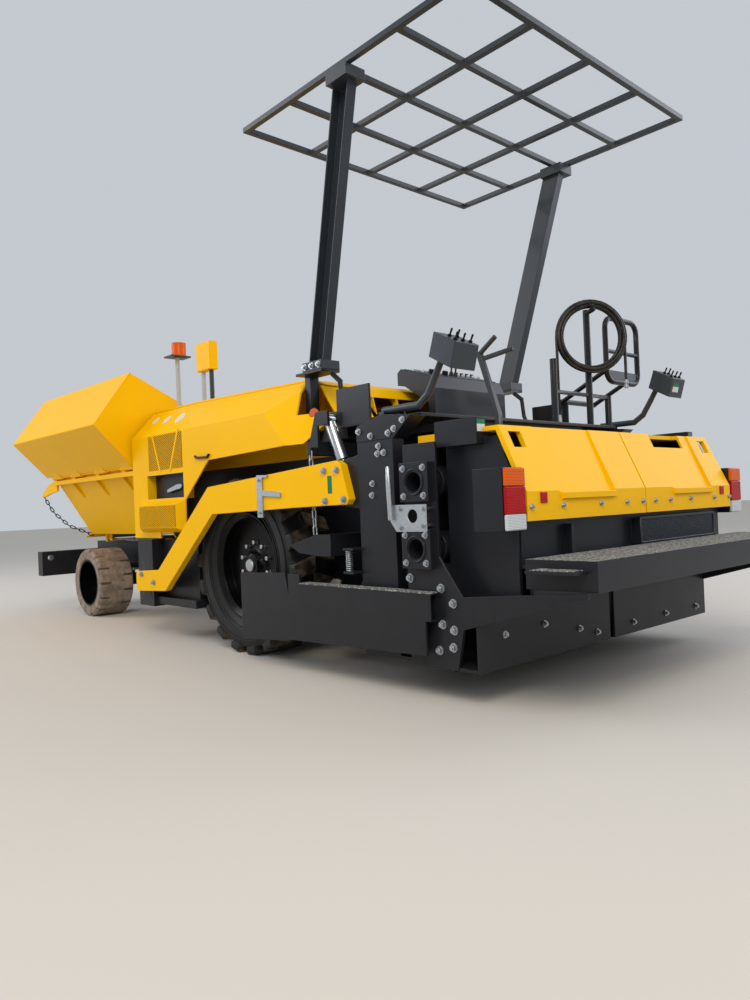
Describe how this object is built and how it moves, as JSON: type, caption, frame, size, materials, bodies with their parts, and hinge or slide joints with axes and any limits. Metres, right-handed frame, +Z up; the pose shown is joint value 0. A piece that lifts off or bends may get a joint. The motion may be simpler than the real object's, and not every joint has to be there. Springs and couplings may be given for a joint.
{
  "type": "wheeled asphalt paver",
  "caption": "Wheeled asphalt paver with a folding hopper, slat conveyor, augers, an operator deck under a bare roof frame, and a telescoping screed carried on tow arms.",
  "frame": {"origin": "on the ground, at the middle of the length and the width", "axes": "+X to the machine's right, +Y to its front (the hopper), +Z up"},
  "size_m": [2.4474, 6.3, 3.113],
  "materials": {
    "yellow_paint": "gloss enamel",
    "black_frame": "semi-gloss enamel",
    "grey_paint": "semi-gloss enamel",
    "worn_steel": "worn bright by asphalt",
    "engine_iron": "cast",
    "cylinder_chrome": "polished rod",
    "solid_tyre": "dusty solid rubber",
    "rear_tyre": "moulded rubber",
    "lamp_amber": "moulded lens",
    "lamp_red": "moulded lens",
    "hose_rubber": "smooth sheath",
    "grit_walkway": "anti-slip grit"
  },
  "bodies": {
    "chassis": {"chassis_frame": "black_frame", "engine_block": "engine_iron", "side_cover_left": "yellow_paint", "side_cover_right": "yellow_paint", "top_cover": "yellow_paint", "hopper_frame": "yellow_paint", "conveyor": "worn_steel", "push_beam": "black_frame", "front_axle": "black_frame", "operator_deck": "black_frame", "operator_seat": "black_frame", "console": "grey_paint", "roof_posts": "grey_paint", "roof_frame": "grey_paint", "warning_lamps": "lamp_amber", "hose_coil": "hose_rubber"},
    "push_roller_left": {"push_roller_left": "worn_steel"},
    "push_roller_right": {"push_roller_right": "worn_steel"},
    "steer_rod": {"steer_rod": "cylinder_chrome"},
    "knuckle_left": {"knuckle_left": "black_frame"},
    "knuckle_right": {"knuckle_right": "black_frame"},
    "front_wheel_left": {"front_tyre_left": "solid_tyre", "front_rim_left": "black_frame"},
    "front_wheel_right": {"front_tyre_right": "solid_tyre", "front_rim_right": "black_frame"},
    "rear_wheel_left": {"rear_tyre_left": "rear_tyre", "rear_rim_left": "black_frame"},
    "rear_wheel_right": {"rear_tyre_right": "rear_tyre", "rear_rim_right": "black_frame"},
    "wing_left": {"wing_left": "yellow_paint"},
    "wing_right": {"wing_right": "yellow_paint"},
    "auger_left": {"auger_left": "worn_steel"},
    "auger_right": {"auger_right": "worn_steel"},
    "screed": {"tow_arms": "yellow_paint", "screed_frame": "black_frame", "screed_cover": "yellow_paint", "walkway": "grit_walkway", "tail_lamps": "lamp_red", "control_boxes": "grey_paint"},
    "hood_left": {"hood_left": "yellow_paint"},
    "hood_right": {"hood_right": "yellow_paint"},
    "lift_barrel_left": {"lift_barrel_left": "grey_paint"},
    "lift_barrel_right": {"lift_barrel_right": "grey_paint"},
    "lift_rod_left": {"lift_rod_left": "cylinder_chrome"},
    "lift_rod_right": {"lift_rod_right": "cylinder_chrome"},
    "extension_left": {"extension_left": "black_frame"},
    "extension_right": {"extension_right": "black_frame"}
  },
  "joints": [
    {"name": "steer_left", "type": "hinge", "parent": "chassis", "child": "knuckle_left", "pos_m": [-0.455, 2.07, 0.295], "axis": [0, 0, 1], "range_deg": [-25, 25]},
    {"name": "steer_right", "type": "hinge", "parent": "chassis", "child": "knuckle_right", "pos_m": [0.455, 2.07, 0.295], "axis": [0, 0, 1], "range_deg": [-25.5, 25.5]},
    {"name": "steer_slide", "type": "slide", "parent": "chassis", "child": "steer_rod", "axis": [1, 0, 0], "range_m": [-0.067, 0.067]},
    {"name": "front_wheel_left_spin", "type": "hinge", "parent": "knuckle_left", "child": "front_wheel_left", "pos_m": [-0.65, 2.07, 0.295], "axis": [1, 0, 0], "continuous": true},
    {"name": "front_wheel_right_spin", "type": "hinge", "parent": "knuckle_right", "child": "front_wheel_right", "pos_m": [0.65, 2.07, 0.295], "axis": [1, 0, 0], "continuous": true},
    {"name": "rear_wheel_left_spin", "type": "hinge", "parent": "chassis", "child": "rear_wheel_left", "pos_m": [-0.8, -0.66, 0.537], "axis": [1, 0, 0], "continuous": true},
    {"name": "rear_wheel_right_spin", "type": "hinge", "parent": "chassis", "child": "rear_wheel_right", "pos_m": [0.8, -0.66, 0.537], "axis": [1, 0, 0], "continuous": true},
    {"name": "push_roller_left_spin", "type": "hinge", "parent": "chassis", "child": "push_roller_left", "pos_m": [-0.48, 3.075, 0.445], "axis": [1, 0, 0], "continuous": true},
    {"name": "push_roller_right_spin", "type": "hinge", "parent": "chassis", "child": "push_roller_right", "pos_m": [0.48, 3.075, 0.445], "axis": [1, 0, 0], "continuous": true},
    {"name": "auger_left_spin", "type": "hinge", "parent": "chassis", "child": "auger_left", "pos_m": [-0.48, -1.49, 0.33], "axis": [1, 0, 0], "continuous": true},
    {"name": "auger_right_spin", "type": "hinge", "parent": "chassis", "child": "auger_right", "pos_m": [0.48, -1.49, 0.33], "axis": [1, 0, 0], "continuous": true},
    {"name": "wing_left_fold", "type": "hinge", "parent": "chassis", "child": "wing_left", "pos_m": [-0.915, 1.68, 1.24], "axis": [0, -1, 0], "range_deg": [0, 36]},
    {"name": "wing_right_fold", "type": "hinge", "parent": "chassis", "child": "wing_right", "pos_m": [0.915, 1.68, 1.24], "axis": [0, 1, 0], "range_deg": [0, 36]},
    {"name": "screed_lift", "type": "hinge", "parent": "chassis", "child": "screed", "pos_m": [0, 0.53, 0.4], "axis": [1, 0, 0], "range_deg": [0, 2.6]},
    {"name": "lift_left_swing", "type": "hinge", "parent": "chassis", "child": "lift_barrel_left", "pos_m": [-0.885, -1.48, 1.345], "axis": [1, 0, 0], "range_deg": [-0.2, 2.39]},
    {"name": "lift_left_stroke", "type": "slide", "parent": "lift_barrel_left", "child": "lift_rod_left", "axis": [0, -0.4061, -0.9138], "range_m": [-0.002, 0.1028]},
    {"name": "lift_right_swing", "type": "hinge", "parent": "chassis", "child": "lift_barrel_right", "pos_m": [0.885, -1.48, 1.345], "axis": [1, 0, 0], "range_deg": [-0.2, 2.39]},
    {"name": "lift_right_stroke", "type": "slide", "parent": "lift_barrel_right", "child": "lift_rod_right", "axis": [0, -0.4061, -0.9138], "range_m": [-0.002, 0.1028]},
    {"name": "hood_left_open", "type": "hinge", "parent": "screed", "child": "hood_left", "pos_m": [-0.48, -2.788, 0.806], "axis": [1, 0, 0], "range_deg": [0, 95]},
    {"name": "hood_right_open", "type": "hinge", "parent": "screed", "child": "hood_right", "pos_m": [0.48, -2.788, 0.806], "axis": [1, 0, 0], "range_deg": [0, 95]},
    {"name": "extension_left_slide", "type": "slide", "parent": "screed", "child": "extension_left", "axis": [-1, 0, 0], "range_m": [0, 0.7]},
    {"name": "extension_right_slide", "type": "slide", "parent": "screed", "child": "extension_right", "axis": [1, 0, 0], "range_m": [0, 0.7]}
  ],
  "couplings": [
    {"joint": "steer_right", "follows": "steer_left", "ratio": 1},
    {"joint": "steer_slide", "follows": "steer_left", "m_per_rad": 0.15},
    {"joint": "lift_left_swing", "follows": "screed_lift", "ratio": 0.8802},
    {"joint": "lift_left_stroke", "follows": "screed_lift", "m_per_rad": 2.2206},
    {"joint": "lift_right_swing", "follows": "screed_lift", "ratio": 0.8802},
    {"joint": "lift_right_stroke", "follows": "screed_lift", "m_per_rad": 2.2206}
  ]
}
